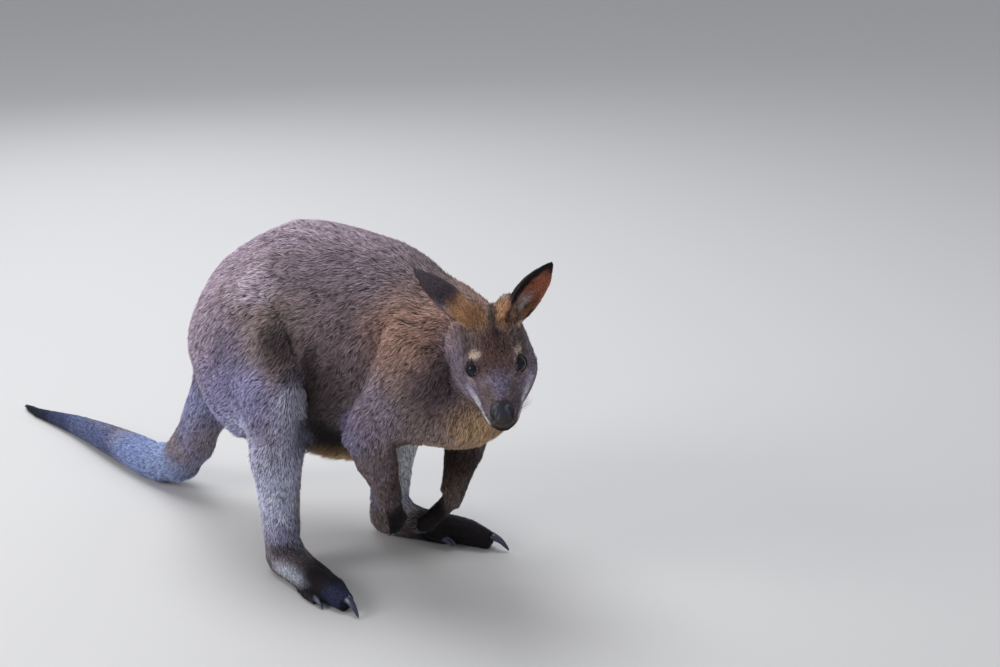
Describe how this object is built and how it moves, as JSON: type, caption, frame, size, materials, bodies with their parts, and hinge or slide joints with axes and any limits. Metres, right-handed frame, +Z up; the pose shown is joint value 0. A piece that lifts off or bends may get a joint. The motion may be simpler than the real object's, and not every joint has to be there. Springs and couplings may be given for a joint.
{
  "type": "wallaby model",
  "caption": "Life-size still model of a red-necked wallaby, leaning forward on its hind feet with the paws held low, the head turned to its right and the long tail laid back on the floor.",
  "frame": {"origin": "on the floor, under the middle of the bounding box", "axes": "+X is the way the body faces, from tail to chest, +Y is the animal's left, +Z is up"},
  "size_m": [1.2068, 0.3216, 0.4891],
  "materials": {
    "back_fur": "grizzled grey-brown coat, dark at the roots and pale at the tips",
    "haunch_fur": "grey-brown coat, greyer low down",
    "shank_fur": "pale blue-grey short coat",
    "head_fur": "short dense grey-brown coat",
    "ear_fur": "very short blackish coat outside, thin and brownish inside",
    "foot_fur": "short blackish coat, grey at the heel",
    "paw_fur": "short dark brown coat, blackish on the fingers",
    "tail_fur": "short blue-grey coat",
    "tail_tip_fur": "blackish brush",
    "horn": "dark polished horn",
    "eye": "wet, very dark brown, high gloss"
  },
  "bodies": {
    "root": {"thigh_right": "haunch_fur", "shank_right": "shank_fur", "foot_right": "foot_fur", "toe_main_right": "foot_fur", "toe_outer_right": "foot_fur", "toe_inner_right": "foot_fur", "claw_main_right": "horn", "claw_outer_right": "horn", "claw_second_right": "horn", "claw_third_right": "horn", "thigh_left": "haunch_fur", "shank_left": "shank_fur", "foot_left": "foot_fur", "toe_main_left": "foot_fur", "toe_outer_left": "foot_fur", "toe_inner_left": "foot_fur", "claw_main_left": "horn", "claw_outer_left": "horn", "claw_second_left": "horn", "claw_third_left": "horn", "upper_arm_right": "back_fur", "forearm_right": "paw_fur", "hand_right": "paw_fur", "claw_1_hand_right": "horn", "claw_2_hand_right": "horn", "claw_3_hand_right": "horn", "claw_4_hand_right": "horn", "claw_5_hand_right": "horn", "upper_arm_left": "back_fur", "forearm_left": "paw_fur", "hand_left": "paw_fur", "claw_1_hand_left": "horn", "claw_2_hand_left": "horn", "claw_3_hand_left": "horn", "claw_4_hand_left": "horn", "claw_5_hand_left": "horn", "tail_base": "tail_fur", "tail_middle": "tail_fur", "tail_tip": "tail_tip_fur", "trunk": "back_fur", "neck": "head_fur", "eye_right": "eye", "eye_left": "eye", "head": "head_fur", "ear_right": "ear_fur", "ear_left": "ear_fur"}
  },
  "joints": []
}
